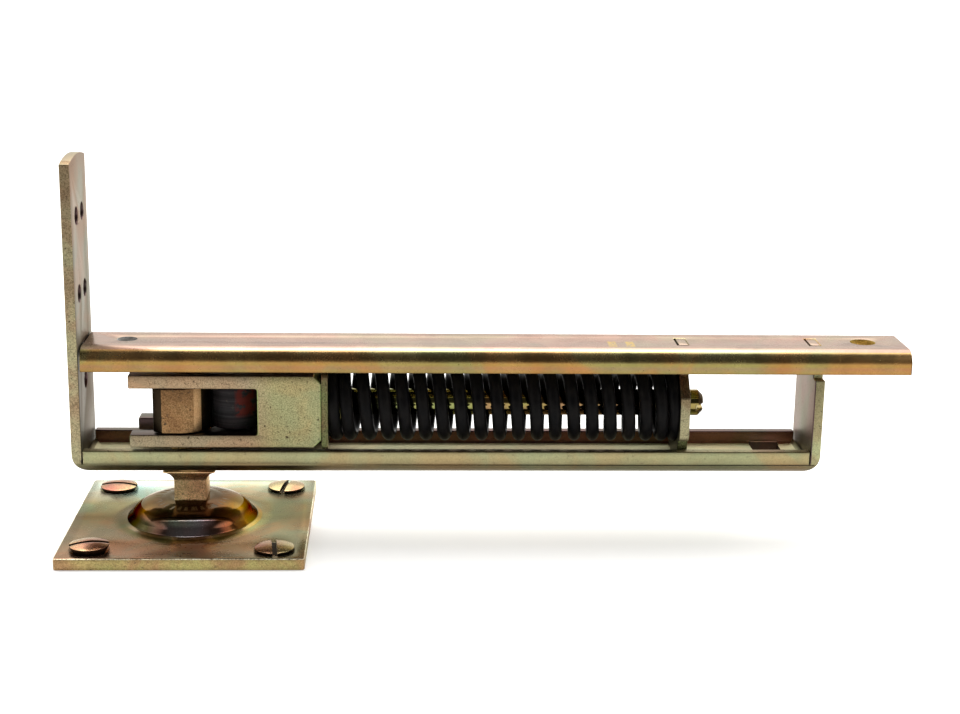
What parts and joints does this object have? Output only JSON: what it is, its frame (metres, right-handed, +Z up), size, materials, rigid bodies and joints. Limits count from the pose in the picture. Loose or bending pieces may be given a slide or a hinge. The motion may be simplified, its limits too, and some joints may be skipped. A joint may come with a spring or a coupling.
{
  "type": "floor spring door closer",
  "caption": "Swing door pivot: folded channel frame with a coil spring, forked yoke and roller on a cam, turning on a spindle over a square floor plate.",
  "frame": {"origin": "spindle axis at the underside of the floor plate", "axes": "+X along the frame from the spindle to its free end, +Y across the frame, +Z up"},
  "size_m": [0.2522, 0.072, 0.1471],
  "materials": {
    "floor_zinc": "iridescent yellow-passivated zinc",
    "screw_zinc": "yellow-passivated zinc",
    "spindle_steel": "matte passivated forging",
    "cam_bronze": "matte cast bronze",
    "frame_zinc": "yellow-passivated zinc",
    "rail_zinc": "yellow-passivated zinc",
    "bush_bronze": "sintered bronze",
    "yoke_zinc": "matte passivated casting",
    "roller_steel": "blackened hardened steel",
    "spring_black": "gloss black lacquer",
    "rod_zinc": "yellow-passivated zinc"
  },
  "bodies": {
    "floor_mount": {"floor_plate": "floor_zinc", "floor_screws": "screw_zinc", "spindle": "spindle_steel", "spindle_washer": "floor_zinc", "cam": "cam_bronze"},
    "frame": {"lower_channel": "frame_zinc", "upper_channel": "rail_zinc", "lower_bush": "bush_bronze", "pivot_cup": "frame_zinc", "top_bush": "bush_bronze", "end_plate": "frame_zinc", "spring": "spring_black"},
    "fork": {"yoke": "yoke_zinc", "roller_pin": "roller_steel"},
    "roller": {"roller": "roller_steel"},
    "adjuster": {"tension_rod": "rod_zinc"},
    "seat": {"spring_seat": "rod_zinc", "tension_nut": "rod_zinc"}
  },
  "joints": [
    {"name": "door_swing", "type": "hinge", "parent": "floor_mount", "child": "frame", "pos_m": [0, 0, 0.0228], "axis": [0, 0, 1], "range_deg": [0, 90], "stiffness_Nm_per_rad": 0.198, "springref_deg": -179.91},
    {"name": "fork_slide", "type": "slide", "parent": "frame", "child": "fork", "axis": [1, 0, 0], "range_m": [0, 0.0051], "deforming": ["spring"]},
    {"name": "roller_spin", "type": "hinge", "parent": "fork", "child": "roller", "pos_m": [0.0136, 0, 0.04075], "axis": [0, 0, 1], "continuous": true},
    {"name": "tension_turn", "type": "hinge", "parent": "fork", "child": "adjuster", "pos_m": [0.033, 0, 0.0406], "axis": [1, 0, 0], "range_deg": [0, 1470]},
    {"name": "seat_slide", "type": "slide", "parent": "fork", "child": "seat", "axis": [1, 0, 0], "range_m": [0, 0.005]}
  ],
  "couplings": [
    {"joint": "fork_slide", "follows": "door_swing", "m_per_rad": 0.0031831},
    {"joint": "tension_turn", "follows": "seat_slide", "rad_per_m": 5026.5}
  ]
}
